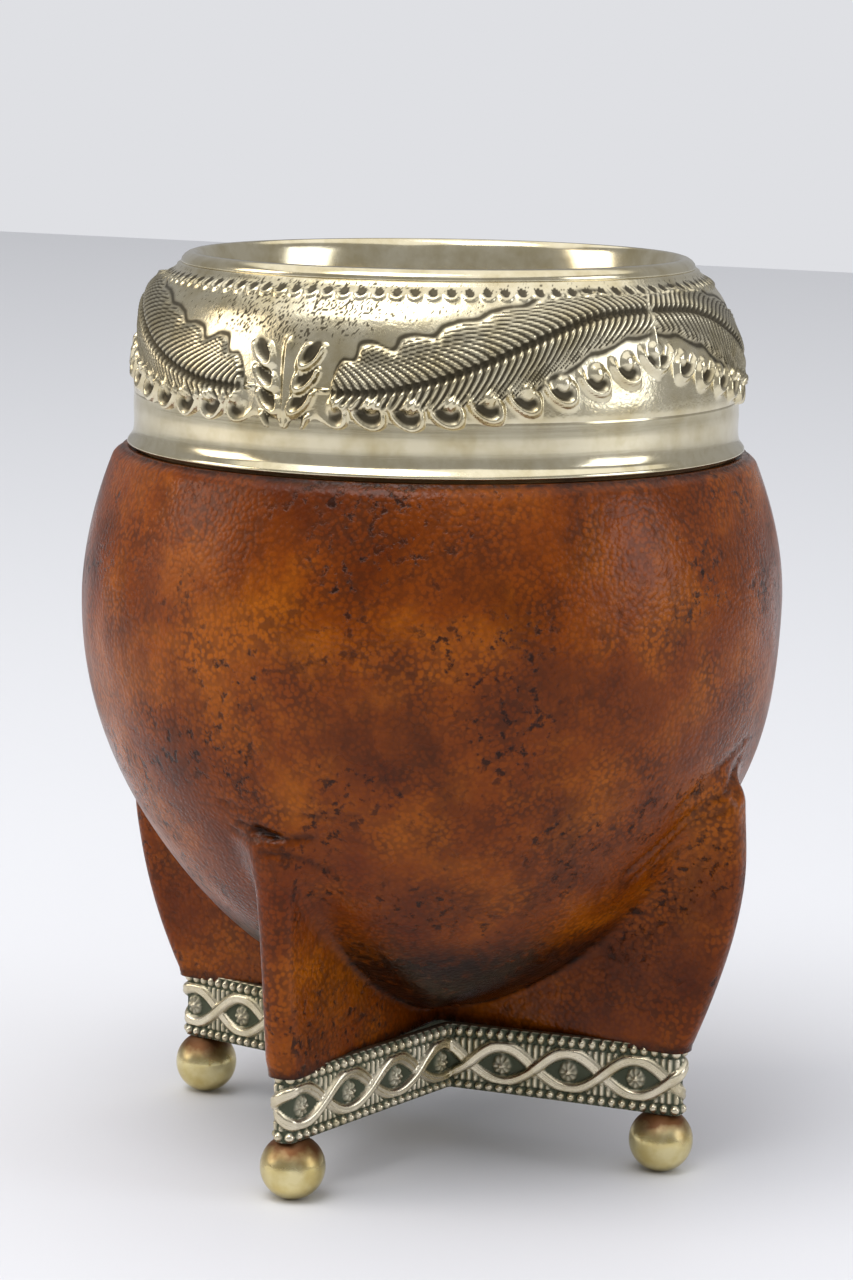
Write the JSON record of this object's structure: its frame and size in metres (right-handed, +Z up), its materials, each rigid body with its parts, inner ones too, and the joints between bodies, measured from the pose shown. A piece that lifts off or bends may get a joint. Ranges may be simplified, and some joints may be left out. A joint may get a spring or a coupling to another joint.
{
  "type": "mate gourd cup",
  "caption": "Leather-covered gourd cup on finned legs with ball feet, with a chased silver collar round its mouth and a silver band round its foot.",
  "frame": {"origin": "on the cup's axis, at the height of the surface that its ball feet stand on", "axes": "+Z up along the cup's axis; the fins lie along +X, +Y, -X and -Y"},
  "size_m": [0.088, 0.088, 0.1126],
  "materials": {
    "calabash": "dry gourd, matt",
    "jacket_leather": "waxed orange-brown leather, satin",
    "collar_silver": "chased nickel silver, polished",
    "band_silver": "chased nickel silver, grey-green patina in the recesses",
    "sole_silver": "plain nickel silver sheet, satin",
    "foot_brass": "polished brass"
  },
  "bodies": {
    "root": {"gourd": "calabash", "leather_cover": "jacket_leather", "collar": "collar_silver", "base_band": "band_silver", "sole_plate": "sole_silver", "ball_foot_1": "foot_brass", "ball_foot_2": "foot_brass", "ball_foot_3": "foot_brass", "ball_foot_4": "foot_brass"}
  },
  "joints": []
}
